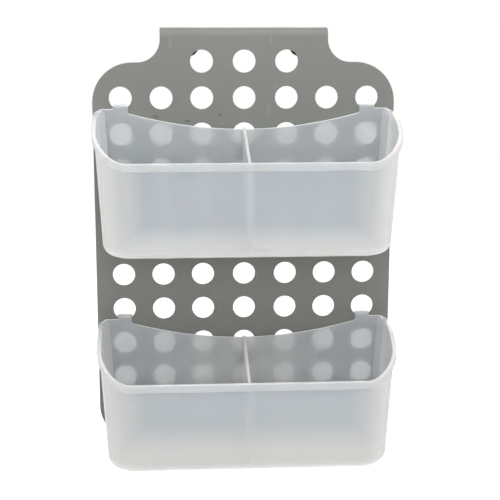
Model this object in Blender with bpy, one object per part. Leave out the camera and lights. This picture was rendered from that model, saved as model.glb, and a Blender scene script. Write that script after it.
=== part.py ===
# Hanging caddy for a cabinet door: a perforated panel with a folded door hook,
# two frosted bins that hook into its holes, and four round door pads.
# Metres, +Z up. The front faces -Y. The origin lies on the underside of the door hook,
# midway along the width and midway between the panel and the rear flange.

import math

import bpy
import bmesh

# Door hook
door_gap = 0.020
sheet_thick = 0.0022
hook_bend_inside = 0.0050
flange_drop = 0.0160
flange_corner = 0.0030
neck_half = 0.0732
hook_bend_steps = 8
flange_corner_steps = 4

# Panel outline
panel_half = 0.1325
neck_fillet = 0.0200
panel_corner = 0.0350
sheet_edge_break = 0.0004
shoulder_margin = 0.0308
foot_margin = 0.0322
outline_steps = 12

# Holes of the panel
hole_radius = 0.0100
hole_sides = 24
neck_row_drop = 0.0261
row_pitch = 0.0317
column_margin = 0.0244
column_shares = [0.0, 0.3432, 0.6716, 1.0]
full_rows = 10
cut_overrun = 0.0020

# Door pads on the back of the panel
pad_radius = 0.0087
pad_thick = 0.0018
pad_edge_break = 0.0003
pad_glue_gap = 0.0002
pad_sides = 36
top_pad_margin = 0.0249
top_pad_rise = 0.0128
bottom_pad_margin = 0.04215
bottom_pad_rise = 0.0115

# Bins: walls
bin_half = 0.1315
bin_depth = 0.0850
bin_floor_half = 0.1225
bin_floor_depth = 0.0810
bin_tall = 0.1176
bin_wall = 0.0018
bin_floor_thick = 0.0020
bin_back_bow = 0.0025
bin_back_draft = 0.0008
bin_front_corner = 0.0260
bin_back_corner = 0.0050
corner_reach = 0.0062
corner_ramp = 0.0030
corner_flat_share = 0.90
corner_rim_share = 0.45
bin_floor_round = 0.0100
back_steps = 12
side_steps = 7
front_steps = 6
front_corner_steps = 9
back_corner_steps = 5
floor_round_steps = 4

# Bins: rim
collar_proud = 0.0020
collar_proud_back = 0.0001
collar_tall = 0.0070
collar_round = 0.0008
rim_inner_break = 0.0003
back_top_drop = 0.0018
arc_end_drop = 0.0058
arc_dip_drop = 0.0195
front_rim_drop = 0.0375
back_corner_fall = 0.0025
rim_fall_power_share = 3.0

# Bins: hooks
bin_hook_half = 0.0064
bin_hook_thick = 0.0020
bin_hook_bend = 0.0027
bin_hook_bend_inside = 0.0007
bin_hook_root = 0.0150
bin_hook_lip = 0.0070
bin_hook_step = 0.0010
bin_hook_fillet = 0.0010
bin_hook_proud = 0.0001
bin_play = 0.0003
bin_hook_bend_steps = 5
bin_hook_fillet_steps = 3
bin_hook_inner_steps = 2
upper_bin_row = 1
lower_bin_row = 7

# Bins: dividers
divider_thick = 0.0027
divider_rise = 0.0013
divider_front_drop = 0.0008
divider_tip_round = 0.0012
divider_tip_steps = 4

# Places that follow from the sizes
panel_rear = -door_gap / 2
panel_front = panel_rear - sheet_thick
hook_centre_drop = hook_bend_inside
pad_front = panel_rear + pad_glue_gap
hole_columns = [(panel_half - column_margin) * share for share in column_shares]
bin_back_flat = bin_half - collar_proud - bin_back_corner
smooth_angle = math.radians(35)


def row_height(row):
    """Height of a row of holes; row 0 is the short row in the neck."""
    return -neck_row_drop - row * row_pitch


def hook_column():
    """The outermost column of holes in front of which a bin's back wall is still flat."""
    reach = bin_back_flat - bin_hook_half - bin_hook_fillet
    return max(x for x in hole_columns if x <= reach)


shoulder_height = row_height(1) + shoulder_margin
foot_height = row_height(full_rows) - foot_margin
seat_drop = math.sqrt(hole_radius ** 2 - bin_hook_half ** 2)
bin_hook_place = hook_column()


def clear_scene():
    for item in list(bpy.data.objects):
        bpy.data.objects.remove(item, do_unlink=True)


def material(name, colour, roughness, transmission=0.0):
    made = bpy.data.materials.new(name)
    made.use_nodes = True
    shader = made.node_tree.nodes["Principled BSDF"]
    shader.inputs["Base Color"].default_value = (*colour, 1.0)
    shader.inputs["Roughness"].default_value = roughness
    shader.inputs["Metallic"].default_value = 0.0
    shader.inputs["Transmission Weight"].default_value = transmission
    made.diffuse_color = (*colour, 1.0)
    return made


def add_object(name, mesh, look=None, place=(0.0, 0.0, 0.0), parent=None):
    made = bpy.data.objects.new(name, mesh)
    made.location = place
    bpy.context.scene.collection.objects.link(made)
    if look is not None:
        mesh.materials.append(look)
    if parent is not None:
        made.parent = parent
    return made


def finish_mesh(name, shape):
    bmesh.ops.recalc_face_normals(shape, faces=shape.faces)
    mesh = bpy.data.meshes.new(name)
    shape.to_mesh(mesh)
    shape.free()
    mesh.shade_smooth()
    mesh.set_sharp_from_angle(angle=smooth_angle)
    return mesh


def boolean(target, operand, operation):
    change = target.modifiers.new(operand.name, "BOOLEAN")
    change.operation = operation
    change.solver = "EXACT"
    change.object = operand
    operand.hide_render = True
    operand.display_type = "WIRE"


def arc(centre, radius, start, stop, steps):
    """Points of an arc in a plane, both ends included; the angles are in degrees."""
    points = []
    for step in range(steps + 1):
        angle = math.radians(start + (stop - start) * step / steps)
        points.append((centre[0] + radius * math.cos(angle),
                       centre[1] + radius * math.sin(angle)))
    return points


# Panel with its door hook

def panel_outline():
    """Right half of the flat sheet from the neck down, then its mirror image, as (x, z)."""
    right = [(neck_half, -hook_centre_drop)]
    right += arc((neck_half + neck_fillet, shoulder_height + neck_fillet), neck_fillet,
                 180, 270, outline_steps)
    right += arc((panel_half - panel_corner, shoulder_height - panel_corner), panel_corner,
                 90, 0, outline_steps)
    right += arc((panel_half - panel_corner, foot_height + panel_corner), panel_corner,
                 0, -90, outline_steps)
    return right + [(-x, z) for x, z in reversed(right)]


def inset_outline(points, inset):
    """The outline moved inwards; its two ends stay level, because the hook goes on from them."""
    moved = []
    count = len(points)
    for index, point in enumerate(points):
        if index == 0 or index == count - 1:
            moved.append((point[0] - math.copysign(inset, point[0]), point[1]))
            continue
        before, after = points[index - 1], points[index + 1]
        edges = [(point[0] - before[0], point[1] - before[1]),
                 (after[0] - point[0], after[1] - point[1])]
        normals = []
        for run, rise in edges:
            length = math.hypot(run, rise)
            normals.append((rise / length, -run / length))
        side = (normals[0][0] + normals[1][0], normals[0][1] + normals[1][1])
        reach = 1 + normals[0][0] * normals[1][0] + normals[0][1] * normals[1][1]
        moved.append((point[0] + side[0] * inset / reach, point[1] + side[1] * inset / reach))
    return moved


def hook_section(half_width, depth, angle, centre):
    """Eight corners across the folded strip. Depth runs from its inner to its outer face."""
    section = []
    for side in (1, -1):
        layers = [(0.0, sheet_edge_break), (sheet_edge_break, 0.0),
                  (sheet_thick - sheet_edge_break, 0.0), (sheet_thick, sheet_edge_break)]
        if side == -1:
            layers.reverse()
        for layer, inset in layers:
            reach = depth + layer
            section.append((side * (half_width - inset),
                            centre[0] - reach * math.cos(angle),
                            centre[1] + reach * math.sin(angle)))
    return section


def hook_sections():
    """Sections from the top of the flat panel, over the door and down the rear flange."""
    sections = []
    front = (panel_rear + hook_bend_inside, -hook_centre_drop)
    back = (-panel_rear - hook_bend_inside, -hook_centre_drop)
    for step in range(1, hook_bend_steps + 1):
        sections.append(hook_section(neck_half, hook_bend_inside,
                                     math.pi / 2 * step / hook_bend_steps, front))
    for step in range(hook_bend_steps + 1):
        sections.append(hook_section(neck_half, hook_bend_inside,
                                     math.pi / 2 * (1 + step / hook_bend_steps), back))
    for step in range(flange_corner_steps + 1):
        turn = math.pi / 2 * step / flange_corner_steps
        height = -flange_drop + flange_corner * (1 - math.sin(turn))
        half_width = neck_half - flange_corner * (1 - math.cos(turn))
        sections.append(hook_section(half_width, hook_bend_inside, math.pi,
                                     (back[0], height)))
    return sections


def panel_mesh():
    """One sheet: rings round the flat outline, then the neck carried on over the door."""
    outline = panel_outline()
    broken = inset_outline(outline, sheet_edge_break)
    rings = [(broken, panel_rear), (outline, panel_rear - sheet_edge_break),
             (outline, panel_front + sheet_edge_break), (broken, panel_front)]
    shape = bmesh.new()
    loops = []
    for points, depth in rings:
        loops.append([shape.verts.new((x, depth, z)) for x, z in points])
    count = len(outline)
    for lower, upper in zip(loops, loops[1:]):
        for index in range(count - 1):
            shape.faces.new((lower[index], lower[index + 1], upper[index + 1], upper[index]))
    shape.faces.new(loops[0])
    shape.faces.new(reversed(loops[-1]))
    section = [loop[0] for loop in loops] + [loop[-1] for loop in reversed(loops)]
    for places in hook_sections():
        following = [shape.verts.new(place) for place in places]
        for index in range(len(section)):
            after = (index + 1) % len(section)
            shape.faces.new((section[index], section[after],
                             following[after], following[index]))
        section = following
    shape.faces.new(section)
    return finish_mesh("back_panel", shape)


def hole_places():
    places = []
    for x in (-hole_columns[1], 0.0, hole_columns[1]):
        places.append((x, row_height(0)))
    for row in range(1, full_rows + 1):
        for x in hole_columns:
            places.append((x, row_height(row)))
            if x > 0:
                places.append((-x, row_height(row)))
    return places


def hole_cutter_mesh():
    shape = bmesh.new()
    ends = (panel_front - cut_overrun, panel_rear + cut_overrun)
    for x, z in hole_places():
        circle = arc((x, z), hole_radius, 0, 360, hole_sides)[:-1]
        rings = []
        for y in ends:
            rings.append([shape.verts.new((px, y, pz)) for px, pz in circle])
        for index in range(hole_sides):
            after = (index + 1) % hole_sides
            shape.faces.new((rings[0][index], rings[0][after],
                             rings[1][after], rings[1][index]))
        shape.faces.new(rings[0])
        shape.faces.new(reversed(rings[1]))
    return finish_mesh("hole_cutter", shape)


def make_panel(look, parent):
    panel = add_object("back_panel", panel_mesh(), look, parent=parent)
    cutter = add_object("hole_cutter", hole_cutter_mesh(), parent=parent)
    boolean(panel, cutter, "DIFFERENCE")
    return panel


# Door pads

def pad_mesh():
    """A round pad, its outer face towards +Y and its edge broken."""
    profile = [(pad_radius, 0.0),
               (pad_radius, pad_thick - pad_edge_break),
               (pad_radius - pad_edge_break, pad_thick)]
    shape = bmesh.new()
    rings = []
    for radius, depth in profile:
        circle = arc((0.0, 0.0), radius, 0, 360, pad_sides)[:-1]
        rings.append([shape.verts.new((x, depth, z)) for x, z in circle])
    for lower, upper in zip(rings, rings[1:]):
        for index in range(pad_sides):
            after = (index + 1) % pad_sides
            shape.faces.new((lower[index], lower[after], upper[after], upper[index]))
    shape.faces.new(rings[0])
    shape.faces.new(reversed(rings[-1]))
    return finish_mesh("door_pad", shape)


def make_pads(look, parent):
    mesh = pad_mesh()
    top = row_height(0) + top_pad_rise
    bottom = foot_height + bottom_pad_rise
    top_offset = neck_half - top_pad_margin
    bottom_offset = panel_half - bottom_pad_margin
    places = {
        "pad_top_left": (-top_offset, pad_front, top),
        "pad_top_right": (top_offset, pad_front, top),
        "pad_bottom_left": (-bottom_offset, pad_front, bottom),
        "pad_bottom_right": (bottom_offset, pad_front, bottom),
    }
    for name, place in places.items():
        add_object(name, mesh.copy(), look, place, parent)


# Bins. Each is drawn in its own frame: y = 0 on the front face of the panel and
# z = 0 on the underside of its hooks.

def plan_sizes(height, inset):
    """Half width, back, front and corner radii of the wall's outline at a height."""
    fall = (-back_top_drop - height) / bin_tall
    wall_half = bin_half - collar_proud
    wall_depth = bin_depth - collar_proud
    half = wall_half + (bin_floor_half - wall_half) * fall - inset
    back = -bin_play - bin_back_draft * fall - inset
    front = -wall_depth + (wall_depth - bin_floor_depth) * fall + inset
    front_radius = max(bin_front_corner - inset, bin_wall)
    back_radius = max(bin_back_corner - inset, bin_wall)
    return half, back, front, front_radius, back_radius


def back_bow(share):
    """How far the back wall stands off the panel; nothing at the hooks, most in the middle."""
    free = (bin_hook_place - bin_hook_half) / (bin_half - collar_proud - bin_back_corner)
    if abs(share) >= free:
        return 0.0
    return bin_back_bow * (1 - (share / free) ** 2) ** 2


def flat_corner(share, reach, leg):
    """How far an inner back corner has turned, as (x, y) from its start: straight, slanted, straight."""
    crease = 1 / back_corner_steps
    if share <= crease:
        return (reach - leg) * share / crease, 0.0
    if share >= 1 - crease:
        return reach, (reach - leg) * (share - 1 + crease) / crease + leg
    slant = (share - crease) / (1 - crease * 2)
    return reach - leg + leg * slant, leg * slant


def plan_point(station, height, inset, flat_share=0.0):
    """A point of the outline, seen from above, for a station at a height.

    The back corners are round outside and slanted inside, where flat_share says how far."""
    kind, side, share = station
    half, back, front, front_radius, back_radius = plan_sizes(height, inset)
    if kind == "back":
        return share * (half - back_radius), back - back_bow(share)
    corner = back_radius
    if flat_share > 0:
        corner = max(corner_reach + bin_wall - inset, bin_wall)
    if kind == "back_corner" and flat_share > 0:
        across, forward = flat_corner(share, corner, corner * flat_share)
        return side * (half - corner + across), back - forward
    if kind == "back_corner":
        angle = math.pi / 2 * (1 - share)
        return (side * (half - back_radius + back_radius * math.cos(angle)),
                back - back_radius + back_radius * math.sin(angle))
    if kind == "side":
        start, stop = back - corner, front + front_radius
        return side * half, start + (stop - start) * share
    if kind == "front_corner":
        angle = math.pi / 2 * share
        return (side * (half - front_radius + front_radius * math.cos(angle)),
                front + front_radius - front_radius * math.sin(angle))
    return side * (half - front_radius) * (1 - share * 2), front


def stations():
    """Stations round the bin: along the back, round the right side, the front and the left."""
    inner = bin_hook_place - bin_hook_half
    outer = bin_hook_place + bin_hook_half
    gaps = [bin_hook_fillet * (step / bin_hook_fillet_steps) ** 2
            for step in range(bin_hook_fillet_steps + 1)]
    hook = [inner - gap for gap in reversed(gaps)]
    hook += [inner + bin_hook_step, outer - bin_hook_step]
    hook += [outer + gap for gap in gaps]
    middle = [(inner - bin_hook_fillet) * (2 * step / back_steps - 1)
              for step in range(1, back_steps)]
    back = [-x for x in reversed(hook)] + middle + hook
    ring = [("back_corner", -1, 0.0)] + [("back", 0, x / bin_back_flat) for x in back]
    right = [("back_corner", 1, step / back_corner_steps) for step in range(back_corner_steps)]
    right += [("side", 1, step / side_steps) for step in range(side_steps)]
    right += [("front_corner", 1, step / front_corner_steps)
              for step in range(front_corner_steps)]
    front = [("front", 1, step / front_steps) for step in range(front_steps)]
    left = [("front_corner", -1, 1 - step / front_corner_steps)
            for step in range(front_corner_steps)]
    left += [("side", -1, 1 - step / side_steps) for step in range(side_steps)]
    left += [("back_corner", -1, 1 - step / back_corner_steps)
             for step in range(back_corner_steps)]
    return ring + right + front + left


def arc_height(x):
    """Height of the dip in the back wall's top edge: a circle through its ends."""
    half_chord = bin_hook_place - bin_hook_half
    sag = arc_dip_drop - arc_end_drop
    radius = (half_chord ** 2 + sag ** 2) / (2 * sag)
    return -arc_dip_drop + radius - math.sqrt(radius ** 2 - x ** 2)


def root_fillet(gap):
    """How far a hook's root lifts the rim at a distance from the hook's side."""
    left = bin_hook_fillet - min(max(gap, 0.0), bin_hook_fillet)
    return bin_hook_fillet - math.sqrt(bin_hook_fillet ** 2 - left ** 2)


def rim_height(station):
    kind = station[0]
    x, y = plan_point(station, -back_top_drop, 0.0)
    if kind == "back":
        gap = bin_hook_place - bin_hook_half - abs(x)
        if abs(x) < bin_hook_place:
            return arc_height(abs(x) + min(gap, 0.0)) + root_fillet(gap)
        return -back_top_drop + root_fillet(abs(x) - bin_hook_place - bin_hook_half)
    back, front = plan_sizes(-back_top_drop, 0.0)[1:3]
    share = (back - y) / (back - front)
    start = -back_top_drop - back_corner_fall
    if kind == "back_corner":
        start = -back_top_drop - back_corner_fall * math.sin(math.pi / 2 * station[2]) ** 2
    fall = front_rim_drop - back_top_drop - back_corner_fall
    return start - fall * share ** rim_fall_power_share


def collar_width(station):
    """The rim's step: none along the back, growing round each back corner."""
    kind, _, share = station
    if kind == "back":
        return collar_proud_back
    if kind == "back_corner":
        grown = math.sin(math.pi / 2 * share) ** 2
        return collar_proud_back + (collar_proud - collar_proud_back) * grown
    return collar_proud


def wall_column(station):
    """Points up the outside of the wall, over the rim and down the inside.

    Each is (height, inset, flat share of the back corners)."""
    floor = -back_top_drop - bin_tall
    top = rim_height(station)
    proud = collar_width(station)
    rounding = min(collar_round, proud + bin_wall / 2)
    column = []
    for step in range(floor_round_steps + 1):
        angle = math.pi / 2 * step / floor_round_steps
        column.append((floor + bin_floor_round * (1 - math.cos(angle)),
                       bin_floor_round * (1 - math.sin(angle)), 0.0))
    column.append((top - collar_tall, 0.0, 0.0))
    column.append((top - collar_tall + proud / 4, -proud, 0.0))
    column.append((top - rounding, -proud, 0.0))
    turn = math.sqrt(0.5)
    column.append((top - rounding * (1 - turn), -proud + rounding * (1 - turn), 0.0))
    column.append((top, -proud + rounding, 0.0))
    column.append((top, bin_wall - rim_inner_break, corner_rim_share))
    column.append((top - rim_inner_break, bin_wall, corner_rim_share))
    column.append((top - rim_inner_break - corner_ramp, bin_wall, corner_flat_share))
    inner_round = bin_floor_round - bin_wall
    inner_floor = floor + bin_floor_thick
    for step in range(floor_round_steps + 1):
        angle = math.pi / 2 * (1 - step / floor_round_steps)
        column.append((inner_floor + inner_round * (1 - math.cos(angle)),
                       bin_wall + inner_round * (1 - math.sin(angle)), corner_flat_share))
    return column


def bin_shell_mesh():
    """The moulded tub, lofted from one column of wall points at each station."""
    shape = bmesh.new()
    columns = []
    for station in stations():
        points = []
        for height, inset, flat_share in wall_column(station):
            x, y = plan_point(station, height, inset, flat_share)
            points.append(shape.verts.new((x, y, height)))
        columns.append(points)
    count = len(columns)
    for index in range(count):
        here, there = columns[index], columns[(index + 1) % count]
        for level in range(len(here) - 1):
            shape.faces.new((here[level], there[level], there[level + 1], here[level + 1]))
    shape.faces.new([points[0] for points in columns])
    shape.faces.new([points[-1] for points in reversed(columns)])
    return finish_mesh("bin_shell", shape)


def prism_mesh(name, outline, half_width, centre=0.0):
    """A (y, z) outline given a width along X."""
    shape = bmesh.new()
    rings = []
    for x in (centre - half_width, centre + half_width):
        rings.append([shape.verts.new((x, y, z)) for y, z in outline])
    count = len(outline)
    for index in range(count):
        after = (index + 1) % count
        shape.faces.new((rings[0][index], rings[0][after], rings[1][after], rings[1][index]))
    shape.faces.new(rings[0])
    shape.faces.new(reversed(rings[1]))
    return finish_mesh(name, shape)


def bin_hook_outline():
    """Side view of a hook: up from the wall, back over the hole's edge and down behind it."""
    wall_inner = -bin_play - bin_wall - bin_hook_proud
    wall_outer = -bin_play - bin_hook_proud
    lip_front = sheet_thick + bin_play
    lip_back = lip_front + bin_hook_thick
    outline = [(wall_inner, -bin_hook_root)]
    outline += arc((wall_inner + bin_hook_bend, bin_hook_thick - bin_hook_bend),
                   bin_hook_bend, 180, 90, bin_hook_bend_steps)
    outline += arc((lip_back - bin_hook_bend, bin_hook_thick - bin_hook_bend),
                   bin_hook_bend, 90, 0, bin_hook_bend_steps)
    outline.append((lip_back, -bin_hook_lip + bin_hook_thick / 2))
    outline.append((lip_back - bin_hook_thick / 2, -bin_hook_lip))
    outline.append((lip_front, -bin_hook_lip))
    outline += arc((lip_front - bin_hook_bend_inside, -bin_hook_bend_inside),
                   bin_hook_bend_inside, 0, 90, bin_hook_inner_steps)
    outline += [(wall_outer, 0.0), (wall_outer, -bin_hook_root)]
    return outline


def divider_outline():
    """Side view of the divider: its top runs down from the back wall to the front rim."""
    floor = -back_top_drop - bin_tall
    foot = floor + bin_floor_thick / 2
    back_top = -bin_play - bin_back_bow - bin_wall / 2
    back_foot = plan_sizes(foot, bin_wall / 2)[1] - bin_back_bow
    front_top = plan_sizes(-front_rim_drop, bin_wall / 2)[2]
    front_foot = plan_sizes(floor + bin_floor_round, bin_wall / 2)[2]
    round_inset = bin_floor_round - bin_wall / 2
    top = -arc_dip_drop + divider_rise
    outline = [(back_foot - round_inset, foot), (back_foot, foot + round_inset)]
    outline.append((back_top, top - divider_tip_round))
    outline += arc((back_top - divider_tip_round, top - divider_tip_round),
                   divider_tip_round, 0, 90, divider_tip_steps)[1:]
    outline.append((front_top, -front_rim_drop - divider_front_drop))
    outline += [(front_foot, foot + round_inset), (front_foot + round_inset, foot)]
    return outline


def make_bin(name, row, look, parent):
    place = (0.0, panel_front, row_height(row) - seat_drop + bin_play)
    made = add_object(name, bin_shell_mesh(), look, place, parent)
    divider = add_object(name + "_divider",
                         prism_mesh("divider", divider_outline(), divider_thick / 2),
                         place=place, parent=parent)
    boolean(made, divider, "UNION")
    for side, word in ((-1, "left"), (1, "right")):
        strip = prism_mesh("bin_hook", bin_hook_outline(), bin_hook_half, side * bin_hook_place)
        hook = add_object(name + "_hook_" + word, strip, place=place, parent=parent)
        boolean(made, hook, "UNION")
    return made


def main():
    clear_scene()
    caddy = bpy.data.objects.new("caddy", None)
    bpy.context.scene.collection.objects.link(caddy)
    grey = material("grey_plastic", (0.225, 0.231, 0.212), 0.55)
    frosted = material("frosted_plastic", (0.80, 0.83, 0.85), 0.40, 0.5)
    black = material("black_foam", (0.012, 0.012, 0.012), 0.85)
    make_panel(grey, caddy)
    make_pads(black, caddy)
    make_bin("upper_bin", upper_bin_row, frosted, caddy)
    make_bin("lower_bin", lower_bin_row, frosted, caddy)


main()
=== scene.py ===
# Looks of the hanging caddy: a grey perforated panel with a folded door hook, two frosted
# bins that hang by hooks in its holes, and four black foam pads.
# Metres, +Z up. The front faces -Y and the origin is the underside of the door hook.

import math

import bmesh
import bpy
from mathutils import Matrix, Vector


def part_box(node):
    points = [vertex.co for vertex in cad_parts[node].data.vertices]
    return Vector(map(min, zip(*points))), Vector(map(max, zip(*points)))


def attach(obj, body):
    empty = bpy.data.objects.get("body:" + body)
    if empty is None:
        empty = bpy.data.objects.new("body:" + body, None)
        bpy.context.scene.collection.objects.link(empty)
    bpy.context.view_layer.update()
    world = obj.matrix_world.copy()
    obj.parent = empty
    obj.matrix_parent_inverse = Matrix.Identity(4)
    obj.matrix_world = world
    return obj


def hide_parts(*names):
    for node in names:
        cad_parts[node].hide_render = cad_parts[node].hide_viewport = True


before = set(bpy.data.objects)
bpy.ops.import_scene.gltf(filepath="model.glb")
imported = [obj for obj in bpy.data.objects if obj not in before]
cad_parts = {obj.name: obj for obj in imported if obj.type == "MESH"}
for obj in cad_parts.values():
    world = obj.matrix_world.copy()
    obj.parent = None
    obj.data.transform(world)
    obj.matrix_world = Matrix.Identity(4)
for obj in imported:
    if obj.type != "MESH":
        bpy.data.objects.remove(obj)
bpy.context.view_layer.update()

# Sizes read from the frame
panel_low, panel_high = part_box("back_panel")
pad_low, pad_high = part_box("pad_top_left")
sheet_thick = panel_high.z
panel_front = panel_low.y
panel_rear = panel_front + sheet_thick
panel_half = panel_high.x
foot_height = panel_low.z
pad_radius = (pad_high.x - pad_low.x) / 2
pad_thick = pad_high.y - pad_low.y
bin_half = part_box("upper_bin")[1].x

# Door hook
hook_bend_inside = 0.0050
flange_drop = 0.0160
flange_corner = 0.0030
neck_half = 0.0732
hook_bend_steps = 16
flange_corner_steps = 8

# Panel outline and holes
neck_fillet = 0.0200
panel_corner = 0.0350
sheet_edge_round = 0.0005
sheet_edge_steps = 3
outline_steps = 28
shoulder_margin = 0.0308
hole_radius = 0.0100
hole_sides = 56
hole_edge_round = 0.0003
hole_edge_steps = 3
neck_row_drop = 0.0261
row_pitch = 0.0317
column_margin = 0.0244
column_shares = [0.0, 0.3432, 0.6716, 1.0]
full_rows = 10
cut_overrun = 0.0020

# Pads
pad_edge_round = 0.0002
pad_edge_steps = 4
pad_sides = 64

# Bins: walls
bin_depth = 0.0850
bin_floor_half = 0.1225
bin_floor_depth = 0.0810
bin_tall = 0.1176
bin_wall = 0.0018
bin_floor_thick = 0.0020
bin_back_bow = 0.0025
bin_back_draft = 0.0008
bin_front_corner = 0.0260
bin_back_corner = 0.0050
corner_reach = 0.0062
corner_ramp = 0.0030
corner_flat_share = 0.90
corner_rim_share = 0.45
bin_floor_round = 0.0100
back_steps = 24
side_steps = 10
front_steps = 8
front_corner_steps = 20
back_corner_steps = 10
floor_round_steps = 7

# Bins: rim. The collar's foot slopes out over one part in collar_slope_parts of how far the
# collar stands out, and is rounded by one part in collar_foot_parts at most.
collar_proud = 0.0020
collar_proud_back = 0.0001
collar_tall = 0.0070
collar_round = 0.0008
collar_foot_round = 0.0005
collar_foot_parts = 3
collar_slope_parts = 4
rim_inner_round = 0.0005
rim_steps = 3
back_top_drop = 0.0018
arc_end_drop = 0.0058
arc_dip_drop = 0.0195
front_rim_drop = 0.0375
back_corner_fall = 0.0025
rim_fall_power_share = 3.0

# Bins: hooks
bin_hook_half = 0.0064
bin_hook_thick = 0.0020
bin_hook_bend = 0.0027
bin_hook_bend_inside = 0.0007
bin_hook_root = 0.0150
bin_hook_lip = 0.0070
bin_hook_step = 0.0010
bin_hook_fillet = 0.0010
bin_hook_proud = 0.0001
bin_hook_edge = 0.0003
bin_hook_edge_steps = 2
bin_play = 0.0003
bin_hook_bend_steps = 8
bin_hook_fillet_steps = 5
bin_hook_inner_steps = 3

# Bins: dividers
divider_thick = 0.0027
divider_rise = 0.0013
divider_front_drop = 0.0008
divider_tip_round = 0.0012
divider_tip_steps = 5
divider_edge = 0.0009
divider_edge_steps = 3

# Camera: its place, its angles in degrees and its focal length, in pixels of the photo
camera_place = (-0.0660, -1.1072, 0.0579)
camera_yaw = 3.73
camera_pitch = -12.97
camera_roll = 0.12
focal_pixels = 1250
photo_pixels = 500
sensor_mm = 36
camera_clip = 0.01

# Lamps, each with its place, its size and its watts, and the point that they all face
lamps = {
    "key": ((0.00, -1.35, 0.25), 0.90, 9.2),
    "top": ((0.10, -0.35, 1.00), 1.00, 8.4),
    "left": ((-1.00, -0.35, 0.50), 0.90, 3.7),
    "right": ((1.00, -0.35, 0.50), 0.90, 3.2),
    "back": ((0.25, 1.25, 0.35), 0.90, 4.0),
}
lamp_aim = (0.0, -0.03, -0.20)

# World and floor: how much light they give, and what the floor glows more where it is seen.
# What is seen through the frosted plastic is faintly warm.
world_light = 0.06
floor_height = -0.95
floor_reach = 4.0
floor_tone = (0.80, 0.80, 0.80)
floor_rough = 0.9
floor_light = 0.52
floor_glow = 0.60
white = (1.0, 1.0, 1.0)
through_tint = (0.950, 0.805, 0.665)

# Smoothing: the least angle of an edge that stays sharp or gets rounded, and how much more the
# large faces count in the shading of a joined mesh
smooth_angle = math.radians(35)
flat_face_weight = 100

# Nodes: where most values of a noise lie, and the sockets of a Mix node for colours
noise_low, noise_high = 0.3, 0.7
mix_first, mix_second, mix_result = 6, 7, 2

# Grey plastic: two pairs of greys, which of them shows, grain and gloss. A noise is its scale
# and its detail.
drift_noise = (9, 3)
drift_tones = ((0.207, 0.214, 0.197), (0.223, 0.229, 0.212))
flow_noise = (14, 4)
flow_tones = ((0.211, 0.218, 0.200), (0.219, 0.225, 0.208))
flow_lean = 38
flow_squeeze = 0.12
share_noise = (3, 1)
flow_share = (0.35, 0.65)
grain_noise = (1400, 2)
grain_depth = 0.00004
grey_gloss = 0.35
grey_rough_noise = (45, 3)
grey_rough = (0.46, 0.56)

# Marks on the panel: x, z, half width, half length and lean to the right, in degrees. Then
# their colours, and how strong a mark is where it starts to show and where it shows in full.
pale_marks = [
    (0.0212, -0.0680, 0.0014, 0.0080, 15),
    (0.0274, -0.0477, 0.0012, 0.0036, 28),
    (0.0233, -0.0063, 0.0011, 0.0070, 0),
    (-0.0643, -0.0105, 0.0013, 0.0050, -5),
]
pale_tone = (0.256, 0.262, 0.244)
pale_strength = (0.0, 0.6)
dark_marks = [
    (-0.0777, -0.0740, 0.0022, 0.0060, 104),
    (-0.0500, -0.0780, 0.0018, 0.0056, 100),
    (-0.0213, -0.0725, 0.0022, 0.0034, 60),
]
dark_tone = (0.135, 0.127, 0.106)
dark_noise = (900, 2)
dark_strength = (0.14, 0.44)

# Frosted plastic, by material index: a bin's walls, its thicker collar and its edges. The edges,
# the rim's top and the whole divider, are whiter and less clear, partly for the thicker plastic
# seen there and partly as a painted highlight. Each look is how clear the plastic is and its
# colour, seen straight on and then along its face.
wall_look, collar_look, edge_highlight_look = 0, 1, 2
frosted_looks = [
    ("frosted_wall", 0.50, (0.703, 0.754, 0.808), 0.12, (0.895, 0.900, 0.895)),
    ("frosted_collar", 0.45, (0.815, 0.850, 0.870), 0.20, (0.930, 0.935, 0.930)),
    ("frosted_edge_highlight", 0.05, (0.955, 0.960, 0.962), 0.15, (0.950, 0.955, 0.955)),
]

# How each bin differs: the heights over its floor between which the glow painted on its foot
# fades out, the colour of its places painted as lit, and how clear it is against the looks above.
# Then the colour of the middle of its back wall, hazier and painted lighter, and how clear that
# is.
bin_looks = {
    "upper": ((0.008, 0.029), (0.865, 0.878, 0.875), 1.00, (0.640, 0.680, 0.712), 0.41),
    "lower": ((0.020, 0.045), (0.885, 0.893, 0.885), 0.86, (0.660, 0.680, 0.692), 0.28),
}

# Zones of the frosted plastic, in a bin's own frame: where each starts to change and where it
# has changed, as distances from the middle or as depths. A slant goes from 0 to 1.
frost_slant = (0.06, 0.50)
# Painted light: the front near the sides is painted whiter, as if lit from the sides.
painted_light_side = (0.088, 0.114)
painted_light_front = (-0.050, -0.030)
back_zone = (-0.012, -0.006)
# The middle of the back wall is hazier where it stands off the panel, and painted lighter as
# painted light.
back_middle = (0.020, 0.100)
band_half = (0.0004, 0.0054)

# How clear the places painted as lit and the divider's band are, and how much of the band is left
# where both meet
painted_light_clear = 0.40
band_clear = 0.27
band_painted_light_share = 0.55
band_tone = (0.695, 0.736, 0.772)

# What all the frosted plastic shares
cloud_noise = (12, 3)
frost_cloud = 1.01
frost_depth = 0.004
frost_spread = (1.0, 1.05, 1.1)
frost_index = 1.45
frost_gloss = 0.40
frost_rough_noise = (60, 2)
frost_rough = (0.20, 0.24)
frost_grain_noise = (1800, 2)
frost_grain_depth = 0.00003

# Foam
pore_noise = (900, 4)
pore_depth = 0.00015
foam_noise = (120, 2)
foam_tones = ((0.010, 0.010, 0.010), (0.017, 0.017, 0.016))
foam_gloss = 0.25
foam_rough = (0.80, 0.95)

# Places that follow
door_gap = (panel_high.y - sheet_thick) * 2
hole_columns = [(panel_half - column_margin) * share for share in column_shares]
bin_floor = -back_top_drop - bin_tall
bin_back_flat = bin_half - collar_proud - bin_back_corner
bin_hook_place = hole_columns[-1]


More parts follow.
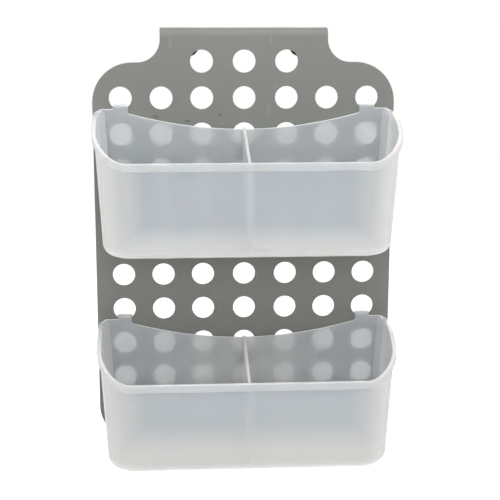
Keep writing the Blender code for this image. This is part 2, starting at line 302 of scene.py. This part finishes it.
def row_height(row):
    """Height of a row of holes; row 0 is the short row in the neck."""
    return -neck_row_drop - row * row_pitch


shoulder_height = row_height(1) + shoulder_margin


# Mesh helpers

def finish_mesh(name, shape):
    bmesh.ops.recalc_face_normals(shape, faces=shape.faces)
    mesh = bpy.data.meshes.new(name)
    shape.to_mesh(mesh)
    shape.free()
    return mesh


def add_object(name, mesh, place=(0.0, 0.0, 0.0)):
    made = bpy.data.objects.new(name, mesh)
    made.location = place
    bpy.context.scene.collection.objects.link(made)
    return made


def smooth(mesh):
    mesh.shade_smooth()
    mesh.set_sharp_from_angle(angle=smooth_angle)


def round_edges(piece, width, segments):
    change = piece.modifiers.new("edges", "BEVEL")
    change.width = width
    change.segments = segments
    change.limit_method = "ANGLE"
    change.angle_limit = smooth_angle


def join_shapes(target, operands, operation):
    """Booleans the operands into the target, keeps the result as its mesh and removes them."""
    for operand in operands:
        change = target.modifiers.new(operand.name, "BOOLEAN")
        change.operation = operation
        change.solver = "EXACT"
        change.object = operand
    graph = bpy.context.evaluated_depsgraph_get()
    result = bpy.data.meshes.new_from_object(target.evaluated_get(graph))
    target.modifiers.clear()
    target.data = result
    for operand in operands:
        bpy.data.objects.remove(operand, do_unlink=True)
    smooth(result)
    even = target.modifiers.new("even_normals", "WEIGHTED_NORMAL")
    even.keep_sharp = True
    even.weight = flat_face_weight


def arc(centre, radius, start, stop, steps):
    """Points of an arc in a plane, both ends included; the angles are in degrees."""
    points = []
    for step in range(steps + 1):
        angle = math.radians(start + (stop - start) * step / steps)
        points.append((centre[0] + radius * math.cos(angle),
                       centre[1] + radius * math.sin(angle)))
    return points


def bridge(shape, lower, upper, closed=True, looks=None):
    """Faces between two rows of points that run side by side."""
    count = len(lower)
    for index in range(count if closed else count - 1):
        after = (index + 1) % count
        face = shape.faces.new((lower[index], lower[after], upper[after], upper[index]))
        if looks:
            face.material_index = looks[index]


def add_solid(shape, rings):
    """A solid from rings of places: each is joined to the next, and both ends are closed."""
    loops = [[shape.verts.new(place) for place in ring] for ring in rings]
    for lower, upper in zip(loops, loops[1:]):
        bridge(shape, lower, upper)
    shape.faces.new(loops[0])
    shape.faces.new(reversed(loops[-1]))


# Panel

def panel_outline():
    """Right half of the flat sheet from the neck down, then its mirror image, as (x, z)."""
    right = [(neck_half, -hook_bend_inside)]
    right += arc((neck_half + neck_fillet, shoulder_height + neck_fillet), neck_fillet,
                 180, 270, outline_steps)
    right += arc((panel_half - panel_corner, shoulder_height - panel_corner), panel_corner,
                 90, 0, outline_steps)
    right += arc((panel_half - panel_corner, foot_height + panel_corner), panel_corner,
                 0, -90, outline_steps)
    return right + [(-x, z) for x, z in reversed(right)]


def inset_outline(points, inset):
    """The outline moved inwards; its two ends stay level, because the hook goes on from them."""
    moved = []
    count = len(points)
    for index, point in enumerate(points):
        if index == 0 or index == count - 1:
            moved.append((point[0] - math.copysign(inset, point[0]), point[1]))
            continue
        before, after = points[index - 1], points[index + 1]
        edges = [(point[0] - before[0], point[1] - before[1]),
                 (after[0] - point[0], after[1] - point[1])]
        normals = []
        for run, rise in edges:
            length = math.hypot(run, rise)
            normals.append((rise / length, -run / length))
        side = (normals[0][0] + normals[1][0], normals[0][1] + normals[1][1])
        reach = 1 + normals[0][0] * normals[1][0] + normals[0][1] * normals[1][1]
        moved.append((point[0] + side[0] * inset / reach, point[1] + side[1] * inset / reach))
    return moved


def edge_layers():
    """Across the sheet, from its rear face to its front: (depth, inset) with both edges round."""
    turn = arc((sheet_edge_round, sheet_edge_round), sheet_edge_round, 270, 180,
               sheet_edge_steps)
    layers = [(depth, inset) for inset, depth in turn]
    return layers + [(sheet_thick - depth, inset) for depth, inset in reversed(layers)]


def hook_section(half_width, angle, centre):
    """Corners across the folded strip. Depth runs from its inner to its outer face."""
    section = []
    layers = edge_layers()
    for side, order in ((1, layers), (-1, list(reversed(layers)))):
        for layer, inset in order:
            reach = hook_bend_inside + layer
            section.append((side * (half_width - inset),
                            centre[0] - reach * math.cos(angle),
                            centre[1] + reach * math.sin(angle)))
    return section


def hook_sections():
    """Sections from the top of the flat panel, over the door and down the rear flange."""
    sections = []
    front = (panel_rear + hook_bend_inside, -hook_bend_inside)
    back = (panel_rear + door_gap - hook_bend_inside, -hook_bend_inside)
    for step in range(1, hook_bend_steps + 1):
        angle = math.pi / 2 * step / hook_bend_steps
        sections.append(hook_section(neck_half, angle, front))
    for step in range(hook_bend_steps + 1):
        angle = math.pi / 2 * (1 + step / hook_bend_steps)
        sections.append(hook_section(neck_half, angle, back))
    for step in range(flange_corner_steps + 1):
        turn = math.pi / 2 * step / flange_corner_steps
        height = -flange_drop + flange_corner * (1 - math.sin(turn))
        half_width = neck_half - flange_corner * (1 - math.cos(turn))
        sections.append(hook_section(half_width, math.pi, (back[0], height)))
    return sections


def panel_mesh():
    """One sheet: rings round the flat outline, then the neck carried on over the door."""
    outline = panel_outline()
    shape = bmesh.new()
    loops = []
    for depth, inset in edge_layers():
        points = inset_outline(outline, inset) if inset > 0 else outline
        loops.append([shape.verts.new((x, panel_rear - depth, z)) for x, z in points])
    for lower, upper in zip(loops, loops[1:]):
        bridge(shape, lower, upper, closed=False)
    shape.faces.new(loops[0])
    shape.faces.new(reversed(loops[-1]))
    section = [loop[0] for loop in loops] + [loop[-1] for loop in reversed(loops)]
    for places in hook_sections():
        following = [shape.verts.new(place) for place in places]
        bridge(shape, section, following)
        section = following
    shape.faces.new(section)
    return finish_mesh("panel_sheet", shape)


def hole_places():
    places = [(x, row_height(0)) for x in (-hole_columns[1], 0.0, hole_columns[1])]
    for row in range(1, full_rows + 1):
        for x in hole_columns:
            places.append((x, row_height(row)))
            if x > 0:
                places.append((-x, row_height(row)))
    return places


def hole_cutter_mesh():
    """Spools: each flares at both faces of the sheet, so that the hole's edges come out round."""
    flare = arc((0.0, 0.0), hole_edge_round, 90, 0, hole_edge_steps)
    profile = [(panel_front - cut_overrun, hole_edge_round)]
    profile += [(panel_front + hole_edge_round - y, hole_edge_round - x) for x, y in flare]
    profile += [(panel_rear - hole_edge_round + y, hole_edge_round - x)
                for x, y in reversed(flare)]
    profile.append((panel_rear + cut_overrun, hole_edge_round))
    shape = bmesh.new()
    for x, z in hole_places():
        rings = []
        for y, extra in profile:
            circle = arc((x, z), hole_radius + extra, 0, 360, hole_sides)[:-1]
            rings.append([(px, y, pz) for px, pz in circle])
        add_solid(shape, rings)
    return finish_mesh("hole_cutter", shape)


def make_panel():
    panel = add_object("panel_sheet", panel_mesh())
    join_shapes(panel, [add_object("hole_cutter", hole_cutter_mesh())], "DIFFERENCE")
    return panel


# Pads

def pad_mesh():
    """A round pad from its glued face towards +Y, its outer edge rounded over."""
    profile = [(pad_radius, 0.0)]
    profile += arc((pad_radius - pad_edge_round, pad_thick - pad_edge_round), pad_edge_round,
                   0, 90, pad_edge_steps)
    rings = []
    for radius, depth in profile:
        circle = arc((0.0, 0.0), radius, 0, 360, pad_sides)[:-1]
        rings.append([(x, depth, z) for x, z in circle])
    shape = bmesh.new()
    add_solid(shape, rings)
    return finish_mesh("foam_pad", shape)


def make_pad(node):
    low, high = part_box(node)
    mesh = pad_mesh()
    smooth(mesh)
    place = ((low.x + high.x) / 2, low.y, (low.z + high.z) / 2)
    return add_object("foam_" + node, mesh, place)


# Bins. Each is drawn in its own frame: y = 0 on the front face of the panel and
# z = 0 on the underside of its hooks.

def plan_sizes(height, inset):
    """Half width, back, front and corner radii of the wall's outline at a height."""
    fall = (-back_top_drop - height) / bin_tall
    wall_half = bin_half - collar_proud
    wall_depth = bin_depth - collar_proud
    half = wall_half + (bin_floor_half - wall_half) * fall - inset
    back = -bin_play - bin_back_draft * fall - inset
    front = -wall_depth + (wall_depth - bin_floor_depth) * fall + inset
    front_radius = max(bin_front_corner - inset, bin_wall)
    back_radius = max(bin_back_corner - inset, bin_wall)
    return half, back, front, front_radius, back_radius


def back_bow(share):
    """How far the back wall stands off the panel; nothing at the hooks, most in the middle."""
    free = (bin_hook_place - bin_hook_half) / bin_back_flat
    if abs(share) >= free:
        return 0.0
    return bin_back_bow * (1 - (share / free) ** 2) ** 2


def flat_corner(share, reach, leg):
    """How far an inner back corner has got, as (x, y): straight, slanted and straight again."""
    crease = 1 / back_corner_steps
    if share <= crease:
        return (reach - leg) * share / crease, 0.0
    if share >= 1 - crease:
        return reach, (reach - leg) * (share - 1 + crease) / crease + leg
    slant = (share - crease) / (1 - crease * 2)
    return reach - leg + leg * slant, leg * slant


def plan_point(station, height, inset, flat_share=0.0):
    """A point of the outline, seen from above, for a station at a height.

    The back corners are round outside and slanted inside, where flat_share says how far."""
    kind, side, share = station
    half, back, front, front_radius, back_radius = plan_sizes(height, inset)
    if kind == "back":
        return share * (half - back_radius), back - back_bow(share)
    corner = back_radius
    if flat_share > 0:
        corner = max(corner_reach + bin_wall - inset, bin_wall)
    if kind == "back_corner" and flat_share > 0:
        across, forward = flat_corner(share, corner, corner * flat_share)
        return side * (half - corner + across), back - forward
    if kind == "back_corner":
        angle = math.pi / 2 * (1 - share)
        return (side * (half - back_radius + back_radius * math.cos(angle)),
                back - back_radius + back_radius * math.sin(angle))
    if kind == "side":
        start, stop = back - corner, front + front_radius
        return side * half, start + (stop - start) * share
    if kind == "front_corner":
        angle = math.pi / 2 * share
        return (side * (half - front_radius + front_radius * math.cos(angle)),
                front + front_radius - front_radius * math.sin(angle))
    return side * (half - front_radius) * (1 - share * 2), front


def stretch(kind, side, steps):
    """Stations along one stretch of the plan; those on the left run from its end to its start."""
    shares = [step / steps for step in range(steps)]
    return [(kind, side, share if side > 0 else 1 - share) for share in shares]


def stations():
    """Stations round the bin: along the back, round the right side, the front and the left."""
    inner = bin_hook_place - bin_hook_half
    outer = bin_hook_place + bin_hook_half
    gaps = [bin_hook_fillet * (step / bin_hook_fillet_steps) ** 2
            for step in range(bin_hook_fillet_steps + 1)]
    hook = [inner - gap for gap in reversed(gaps)]
    hook += [inner + bin_hook_step, outer - bin_hook_step]
    hook += [outer + gap for gap in gaps]
    middle = [(inner - bin_hook_fillet) * (2 * step / back_steps - 1)
              for step in range(1, back_steps)]
    back = [-x for x in reversed(hook)] + middle + hook
    ring = [("back_corner", -1, 0.0)] + [("back", 0, x / bin_back_flat) for x in back]
    ring += stretch("back_corner", 1, back_corner_steps) + stretch("side", 1, side_steps)
    ring += stretch("front_corner", 1, front_corner_steps) + stretch("front", 1, front_steps)
    ring += stretch("front_corner", -1, front_corner_steps) + stretch("side", -1, side_steps)
    return ring + stretch("back_corner", -1, back_corner_steps)


def arc_height(x):
    """Height of the dip in the back wall's top edge: a circle through its ends."""
    half_chord = bin_hook_place - bin_hook_half
    sag = arc_dip_drop - arc_end_drop
    radius = (half_chord ** 2 + sag ** 2) / (2 * sag)
    return -arc_dip_drop + radius - math.sqrt(radius ** 2 - x ** 2)


def root_fillet(gap):
    """How far a hook's root lifts the rim at a distance from the hook's side."""
    left = bin_hook_fillet - min(max(gap, 0.0), bin_hook_fillet)
    return bin_hook_fillet - math.sqrt(bin_hook_fillet ** 2 - left ** 2)


def rim_height(station):
    """The rim: the dip and the hooks' roots along the back, then a sweep down to the front."""
    kind = station[0]
    x, y = plan_point(station, -back_top_drop, 0.0)
    if kind == "back":
        gap = bin_hook_place - bin_hook_half - abs(x)
        if abs(x) < bin_hook_place:
            return arc_height(abs(x) + min(gap, 0.0)) + root_fillet(gap)
        return -back_top_drop + root_fillet(abs(x) - bin_hook_place - bin_hook_half)
    back, front = plan_sizes(-back_top_drop, 0.0)[1:3]
    share = (back - y) / (back - front)
    start = -back_top_drop - back_corner_fall
    if kind == "back_corner":
        start = -back_top_drop - back_corner_fall * math.sin(math.pi / 2 * station[2]) ** 2
    fall = front_rim_drop - back_top_drop - back_corner_fall
    return start - fall * share ** rim_fall_power_share


def collar_width(station):
    """The rim's step: none along the back, growing round each back corner."""
    kind, _, share = station
    if kind == "back":
        return collar_proud_back
    if kind == "back_corner":
        grown = math.sin(math.pi / 2 * share) ** 2
        return collar_proud_back + (collar_proud - collar_proud_back) * grown
    return collar_proud


def wall_column(station):
    """Points up the outside of the wall, over the rim and down the inside.

    Each is (height, inset, flat share of the back corners, look of the face that it starts)."""
    top = rim_height(station)
    proud = collar_width(station)
    column = []
    for height, inset in arc((bin_floor + bin_floor_round, bin_floor_round), bin_floor_round,
                             180, 270, floor_round_steps):
        column.append((height, inset, 0.0, wall_look))
    foot = top - collar_tall
    slope = proud / collar_slope_parts
    foot_round = min(collar_foot_round, proud / collar_foot_parts)
    column.append((foot, 0.0, 0.0, collar_look))
    for height, inset in arc((foot + slope + foot_round, foot_round - proud), foot_round,
                             180, 270, rim_steps):
        column.append((height, inset, 0.0, collar_look))
    rounding = min(collar_round, proud + bin_wall / 2)
    for height, inset in arc((top - rounding, rounding - proud), rounding, -90, 0, rim_steps):
        column.append((height, inset, 0.0, collar_look))
    # The rim's top takes the edge look: whiter for its thickness and partly as a painted
    # highlight.
    column[-1] = (*column[-1][:-1], edge_highlight_look)
    for height, inset in arc((top - rim_inner_round, bin_wall - rim_inner_round),
                             rim_inner_round, 0, 90, rim_steps):
        column.append((height, inset, corner_rim_share, edge_highlight_look))
    column[-1] = (*column[-1][:-1], wall_look)
    column.append((top - rim_inner_round - corner_ramp, bin_wall, corner_flat_share, wall_look))
    inner_floor = bin_floor + bin_floor_thick
    inner_round = bin_floor_round - bin_wall
    for height, inset in arc((inner_floor + inner_round, bin_wall + inner_round), inner_round,
                             270, 180, floor_round_steps):
        column.append((height, inset, corner_flat_share, wall_look))
    return column


def bin_shell_mesh():
    """The moulded tub, lofted from one column of wall points at each station."""
    shape = bmesh.new()
    columns = []
    for station in stations():
        points = []
        looks = []
        for height, inset, flat_share, look in wall_column(station):
            x, y = plan_point(station, height, inset, flat_share)
            points.append(shape.verts.new((x, y, height)))
            looks.append(look)
        columns.append(points)
    for here, there in zip(columns, columns[1:] + columns[:1]):
        bridge(shape, here, there, closed=False, looks=looks)
    shape.faces.new([points[0] for points in columns])
    shape.faces.new([points[-1] for points in reversed(columns)])
    return finish_mesh("bin_shell", shape)


def prism_mesh(name, outline, half_width, centre=0.0):
    """A (y, z) outline given a width along X."""
    ends = (centre - half_width, centre + half_width)
    shape = bmesh.new()
    add_solid(shape, [[(x, y, z) for y, z in outline] for x in ends])
    return finish_mesh(name, shape)


def bin_hook_outline():
    """Side view of a hook: up from the wall, back over the hole's edge and down behind it."""
    wall_inner = -bin_play - bin_wall - bin_hook_proud
    wall_outer = -bin_play - bin_hook_proud
    lip_front = sheet_thick + bin_play
    lip_back = lip_front + bin_hook_thick
    outline = [(wall_inner, -bin_hook_root)]
    outline += arc((wall_inner + bin_hook_bend, bin_hook_thick - bin_hook_bend),
                   bin_hook_bend, 180, 90, bin_hook_bend_steps)
    outline += arc((lip_back - bin_hook_bend, bin_hook_thick - bin_hook_bend),
                   bin_hook_bend, 90, 0, bin_hook_bend_steps)
    outline.append((lip_back, -bin_hook_lip + bin_hook_thick / 2))
    outline.append((lip_back - bin_hook_thick / 2, -bin_hook_lip))
    outline.append((lip_front, -bin_hook_lip))
    outline += arc((lip_front - bin_hook_bend_inside, -bin_hook_bend_inside),
                   bin_hook_bend_inside, 0, 90, bin_hook_inner_steps)
    outline += [(wall_outer, 0.0), (wall_outer, -bin_hook_root)]
    return outline


def divider_outline():
    """Side view of the divider: its top runs down from the back wall to the front rim."""
    foot = bin_floor + bin_floor_thick / 2
    back_top = -bin_play - bin_back_bow - bin_wall / 2
    back_foot = plan_sizes(foot, bin_wall / 2)[1] - bin_back_bow
    front_top = plan_sizes(-front_rim_drop, bin_wall / 2)[2]
    front_foot = plan_sizes(bin_floor + bin_floor_round, bin_wall / 2)[2]
    round_inset = bin_floor_round - bin_wall / 2
    top = -arc_dip_drop + divider_rise
    outline = [(back_foot - round_inset, foot), (back_foot, foot + round_inset)]
    outline.append((back_top, top - divider_tip_round))
    outline += arc((back_top - divider_tip_round, top - divider_tip_round),
                   divider_tip_round, 0, 90, divider_tip_steps)[1:]
    outline.append((front_top, -front_rim_drop - divider_front_drop))
    outline += [(front_foot, foot + round_inset), (front_foot + round_inset, foot)]
    return outline


def make_bin(name, node, looks):
    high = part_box(node)[1]
    place = (0.0, panel_front, high.z - bin_hook_thick)
    made = add_object(name, bin_shell_mesh(), place)
    slab = prism_mesh("divider", divider_outline(), divider_thick / 2)
    # The divider takes the edge look: whiter for its thickness and partly as a painted highlight.
    slab.polygons.foreach_set("material_index", [edge_highlight_look] * len(slab.polygons))
    divider = add_object("divider", slab, place)
    round_edges(divider, divider_edge, divider_edge_steps)
    parts = [divider]
    for side in (-1, 1):
        strip = prism_mesh("bin_hook", bin_hook_outline(), bin_hook_half, side * bin_hook_place)
        hook = add_object("hook", strip, place)
        round_edges(hook, bin_hook_edge, bin_hook_edge_steps)
        parts.append(hook)
    for piece in [made] + parts:
        for look in looks:
            piece.data.materials.append(look)
    join_shapes(made, parts, "UNION")
    return made


# Materials

def feed(links, socket, value):
    """Gives a socket a node's output, a colour of three numbers or a number."""
    if isinstance(value, bpy.types.NodeSocket):
        links.new(value, socket)
    elif isinstance(value, tuple):
        socket.default_value = (*value, 1.0)
    else:
        socket.default_value = value


def mix_colours(nodes, links, factor, first, second):
    node = nodes.new("ShaderNodeMix")
    node.data_type = "RGBA"
    feed(links, node.inputs["Factor"], factor)
    feed(links, node.inputs[mix_first], first)
    feed(links, node.inputs[mix_second], second)
    return node.outputs[mix_result]


class Look:
    """A node material with one Principled shader."""

    def __init__(self, name):
        self.material = bpy.data.materials.new(name)
        self.material.use_nodes = True
        self.nodes = self.material.node_tree.nodes
        self.links = self.material.node_tree.links
        self.shader = self.nodes["Principled BSDF"]
        self.place = self.nodes.new("ShaderNodeTexCoord").outputs["Object"]

    def set(self, socket, value):
        self.shader.inputs[socket].default_value = value

    def mapped(self, kind, place, lean, scale):
        """The piece's places, moved, turned about Y by an angle in degrees and scaled."""
        node = self.nodes.new("ShaderNodeMapping")
        node.vector_type = kind
        node.inputs["Location"].default_value = place
        node.inputs["Rotation"].default_value = (0.0, math.radians(lean), 0.0)
        node.inputs["Scale"].default_value = scale
        self.links.new(self.place, node.inputs["Vector"])
        return node.outputs["Vector"]

    def streaked(self, lean, squeeze):
        """Places that draw a noise out into long streaks."""
        return self.mapped("POINT", (0.0, 0.0, 0.0), lean, (1.0, 1.0, squeeze))

    def noise(self, scale, detail, where=None):
        node = self.nodes.new("ShaderNodeTexNoise")
        node.inputs["Scale"].default_value = scale
        node.inputs["Detail"].default_value = detail
        self.links.new(where or self.place, node.inputs["Vector"])
        return node.outputs["Fac"]

    def ranged(self, value, low, high, start=noise_low, stop=noise_high):
        """Goes from low to high while the value goes from start to stop."""
        node = self.nodes.new("ShaderNodeMapRange")
        settings = {"From Min": start, "From Max": stop, "To Min": low, "To Max": high}
        for socket, setting in settings.items():
            feed(self.links, node.inputs[socket], setting)
        self.links.new(value, node.inputs["Value"])
        return node.outputs["Result"]

    def spread(self, share, low, high):
        """Goes from low to high while the share goes from nothing to one."""
        return self.ranged(share, low, high, 0.0, 1.0)

    def rise(self, value, start=noise_low, stop=noise_high):
        """Nothing up to the start, and one from the stop on."""
        return self.ranged(value, 0.0, 1.0, start, stop)

    def fall(self, value, start, stop):
        """One up to the start, and nothing from the stop on."""
        return self.ranged(value, 1.0, 0.0, start, stop)

    def along(self, axis):
        """Where a point lies along one axis of the piece."""
        node = self.nodes.new("ShaderNodeSeparateXYZ")
        self.links.new(self.place, node.inputs["Vector"])
        return node.outputs[axis]

    def maths(self, operation, *values):
        node = self.nodes.new("ShaderNodeMath")
        node.operation = operation
        for socket, value in zip(node.inputs, values):
            self.links.new(value, socket)
        return node.outputs["Value"]

    def slant(self, start, stop):
        """Nothing where a face is looked at straight on, one where it is looked at along it."""
        node = self.nodes.new("ShaderNodeLayerWeight")
        return self.rise(node.outputs["Facing"], start, stop)

    def blend(self, factor, first, second):
        return mix_colours(self.nodes, self.links, factor, first, second)

    def mark(self, x, z, half_width, half_length, lean):
        """One at a place on the panel, fading to nothing at the edge of a slender ellipse."""
        reach = (half_width, sheet_thick / 2, half_length)
        node = self.nodes.new("ShaderNodeTexGradient")
        node.gradient_type = "SPHERICAL"
        where = self.mapped("TEXTURE", (x, panel_front, z), lean, reach)
        self.links.new(where, node.inputs["Vector"])
        return node.outputs["Fac"]

    def marks(self, places):
        total = self.mark(*places[0])
        for place in places[1:]:
            total = self.maths("MAXIMUM", total, self.mark(*place))
        return total

    def bump(self, value, depth):
        node = self.nodes.new("ShaderNodeBump")
        node.inputs["Distance"].default_value = depth
        self.links.new(value, node.inputs["Height"])
        return node.outputs["Normal"]

    def use(self, **sockets):
        for socket, value in sockets.items():
            self.links.new(value, self.shader.inputs[socket.replace("_", " ")])


def grey_plastic():
    """Satin moulded plastic with faint slanting flow marks, a few dark speckled marks near the
    upper bin's back edge and a fine grain.
    """
    look = Look("grey_plastic")
    drift = look.rise(look.noise(*drift_noise))
    flow = look.rise(look.noise(*flow_noise, look.streaked(flow_lean, flow_squeeze)))
    toned = look.blend(drift, *drift_tones)
    marked = look.blend(flow, *flow_tones)
    clean = look.blend(look.ranged(look.noise(*share_noise), *flow_share), toned, marked)
    pale = look.rise(look.marks(pale_marks), *pale_strength)
    # Dark speckled marks near the upper bin's back edge.
    dark_specks = look.maths("MULTIPLY", look.marks(dark_marks), look.noise(*dark_noise))
    specked = look.rise(dark_specks, *dark_strength)
    look.set("Specular IOR Level", grey_gloss)
    look.use(Base_Color=look.blend(specked, look.blend(pale, clean, pale_tone), dark_tone),
             Roughness=look.ranged(look.noise(*grey_rough_noise), *grey_rough),
             Normal=look.bump(look.noise(*grain_noise), grain_depth))
    return look.material


def frosted_plastic(word, name, clear, tone, clear_along, tone_along):
    """Frosted translucent plastic: light goes through it, and what lies behind goes soft.

    Looked at along its face, a wall is thicker to see through, so it is whiter and less clear.
    Near the floor, and on the front near the sides, the plastic is painted whiter and less clear:
    painted light, for light that shines through it there.
    the middle of the back, which stands off the panel."""
    look = Look(name + "_" + word)
    foot_glow_heights, painted_light_tone, clear_share, back_haze_light_tone, back_clear = bin_looks[word]
    along = look.slant(*frost_slant)
    # Painted light: a glow painted on the foot of the walls, fading out upwards.
    foot = look.fall(look.along("Z"), *(bin_floor + height for height in foot_glow_heights))
    across = look.maths("ABSOLUTE", look.along("X"))
    # Painted light: the front near each side, painted whiter as if lit from the sides.
    side = look.rise(across, *painted_light_side)
    front = look.fall(look.along("Y"), *painted_light_front)
    painted_light = look.maths("MAXIMUM", foot, look.maths("MULTIPLY", side, front))
    # Hazier middle of the back, also painted lighter as painted light.
    back = look.rise(look.along("Y"), *back_zone)
    back_haze_and_light = look.maths("MULTIPLY", look.fall(across, *back_middle), back)
    band = look.maths("MULTIPLY", look.fall(across, *band_half), front)
    band = look.maths("MULTIPLY", band, look.spread(painted_light, 1.0, band_painted_light_share))
    cloud = look.rise(look.noise(*cloud_noise))
    milky = tuple(share * frost_cloud for share in tone)
    clear = clear * clear_share
    toned = look.blend(back_haze_and_light, look.blend(cloud, tone, milky), back_haze_light_tone)
    plain = look.blend(band, toned, band_tone)
    # Painted light: the places painted as lit take a whiter colour and are less clear.
    upright = look.blend(painted_light, plain, painted_light_tone)
    open_share = look.spread(back_haze_and_light, clear, min(back_clear, clear))
    open_share = look.spread(painted_light, open_share, min(painted_light_clear, clear))
    open_share = look.spread(band, open_share, min(band_clear, clear))
    look.set("IOR", frost_index)
    look.set("Specular IOR Level", frost_gloss)
    look.set("Subsurface Weight", 1.0)
    look.set("Subsurface Radius", frost_spread)
    look.set("Subsurface Scale", frost_depth)
    look.use(Base_Color=look.blend(along, upright, tone_along),
             Transmission_Weight=look.spread(along, open_share, clear_along),
             Roughness=look.ranged(look.noise(*frost_rough_noise), *frost_rough),
             Normal=look.bump(look.noise(*frost_grain_noise), frost_grain_depth))
    return look.material


def black_foam():
    """Closed-cell foam rubber: matt black with fine pores."""
    look = Look("black_foam")
    pores = look.noise(*pore_noise)
    tone = look.rise(look.noise(*foam_noise))
    look.set("Specular IOR Level", foam_gloss)
    look.use(Base_Color=look.blend(tone, *foam_tones),
             Roughness=look.ranged(pores, *foam_rough),
             Normal=look.bump(pores, pore_depth))
    return look.material


# Camera, light and background

def make_camera():
    yaw, pitch, roll = (math.radians(a) for a in (camera_yaw, camera_pitch, camera_roll))
    ahead = Vector((math.sin(yaw) * math.cos(pitch), math.cos(yaw) * math.cos(pitch),
                    math.sin(pitch)))
    right = ahead.cross(Vector((0.0, 0.0, 1.0))).normalized()
    up = right.cross(ahead)
    across = right * math.cos(roll) + up * math.sin(roll)
    upright = up * math.cos(roll) - right * math.sin(roll)
    turned = Matrix((across, upright, -ahead)).transposed().to_4x4()
    camera = bpy.data.objects.new("camera", bpy.data.cameras.new("camera"))
    camera.matrix_world = Matrix.Translation(camera_place) @ turned
    camera.data.sensor_width = sensor_mm
    camera.data.lens = sensor_mm * focal_pixels / photo_pixels
    camera.data.clip_start = camera_clip
    bpy.context.scene.collection.objects.link(camera)
    bpy.context.scene.camera = camera


def make_lamp(name, place, size, watts):
    lamp = bpy.data.lights.new(name, "AREA")
    lamp.shape = "DISK"
    lamp.size = size
    lamp.energy = watts
    made = bpy.data.objects.new(name, lamp)
    made.location = place
    toward = Vector(lamp_aim) - Vector(place)
    made.rotation_mode = "QUATERNION"
    made.rotation_quaternion = toward.to_track_quat("-Z", "Y")
    bpy.context.scene.collection.objects.link(made)


def seen_rays(nodes, links):
    """One for camera, glossy and transmission rays, nothing for the rest."""
    path = nodes.new("ShaderNodeLightPath")
    total = path.outputs["Is Camera Ray"]
    for name in ("Is Glossy Ray", "Is Transmission Ray"):
        add = nodes.new("ShaderNodeMath")
        add.operation = "MAXIMUM"
        links.new(total, add.inputs[0])
        links.new(path.outputs[name], add.inputs[1])
        total = add.outputs["Value"]
    return total


def seen_tint(nodes, links):
    """White, or faintly warm for what is seen through the frosted plastic."""
    path = nodes.new("ShaderNodeLightPath")
    return mix_colours(nodes, links, path.outputs["Is Transmission Ray"], white, through_tint)


def make_world():
    """White to what looks at it, and a faint light from all round on everything else."""
    world = bpy.data.worlds.new("studio")
    world.use_nodes = True
    nodes, links = world.node_tree.nodes, world.node_tree.links
    shader = nodes["Background"]
    links.new(seen_tint(nodes, links), shader.inputs["Color"])
    strength = nodes.new("ShaderNodeMapRange")
    strength.inputs["To Min"].default_value = world_light
    strength.inputs["To Max"].default_value = 1.0
    links.new(seen_rays(nodes, links), strength.inputs["Value"])
    links.new(strength.outputs["Result"], shader.inputs["Strength"])
    bpy.context.scene.world = world


def make_floor():
    """A pale floor well below the caddy. It stays white in view and keeps a soft shadow."""
    material = bpy.data.materials.new("pale_floor")
    material.use_nodes = True
    nodes, links = material.node_tree.nodes, material.node_tree.links
    shader = nodes["Principled BSDF"]
    shader.inputs["Base Color"].default_value = (*floor_tone, 1.0)
    shader.inputs["Roughness"].default_value = floor_rough
    shader.inputs["Specular IOR Level"].default_value = 0.0
    links.new(seen_tint(nodes, links), shader.inputs["Emission Color"])
    lift = nodes.new("ShaderNodeMath")
    lift.operation = "MULTIPLY_ADD"
    lift.inputs[1].default_value = floor_glow
    lift.inputs[2].default_value = floor_light
    links.new(seen_rays(nodes, links), lift.inputs[0])
    links.new(lift.outputs["Value"], shader.inputs["Emission Strength"])
    shape = bmesh.new()
    corners = [(-1, -1), (1, -1), (1, 1), (-1, 1)]
    shape.faces.new([shape.verts.new((x * floor_reach, y * floor_reach, floor_height))
                     for x, y in corners])
    mesh = bpy.data.meshes.new("pale_floor")
    shape.to_mesh(mesh)
    shape.free()
    mesh.materials.append(material)
    add_object("pale_floor", mesh)


def dress(piece, body, node):
    """Hides the solid of the frame that the piece stands for, and puts the piece under its body.
    """
    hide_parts(node)
    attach(piece, body)


def main():
    make_camera()
    make_world()
    make_floor()
    for name, values in lamps.items():
        make_lamp(name, *values)
    bpy.context.scene.view_settings.view_transform = "Standard"
    panel = make_panel()
    panel.data.materials.append(grey_plastic())
    dress(panel, "panel", "back_panel")
    foam = black_foam()
    for node in ("pad_top_left", "pad_top_right", "pad_bottom_left", "pad_bottom_right"):
        pad = make_pad(node)
        pad.data.materials.append(foam)
        dress(pad, "panel", node)
    for word in bin_looks:
        frosted = [frosted_plastic(word, *values) for values in frosted_looks]
        tub = make_bin(word + "_bin_tub", word + "_bin", frosted)
        dress(tub, word + "_bin_body", word + "_bin")


main()
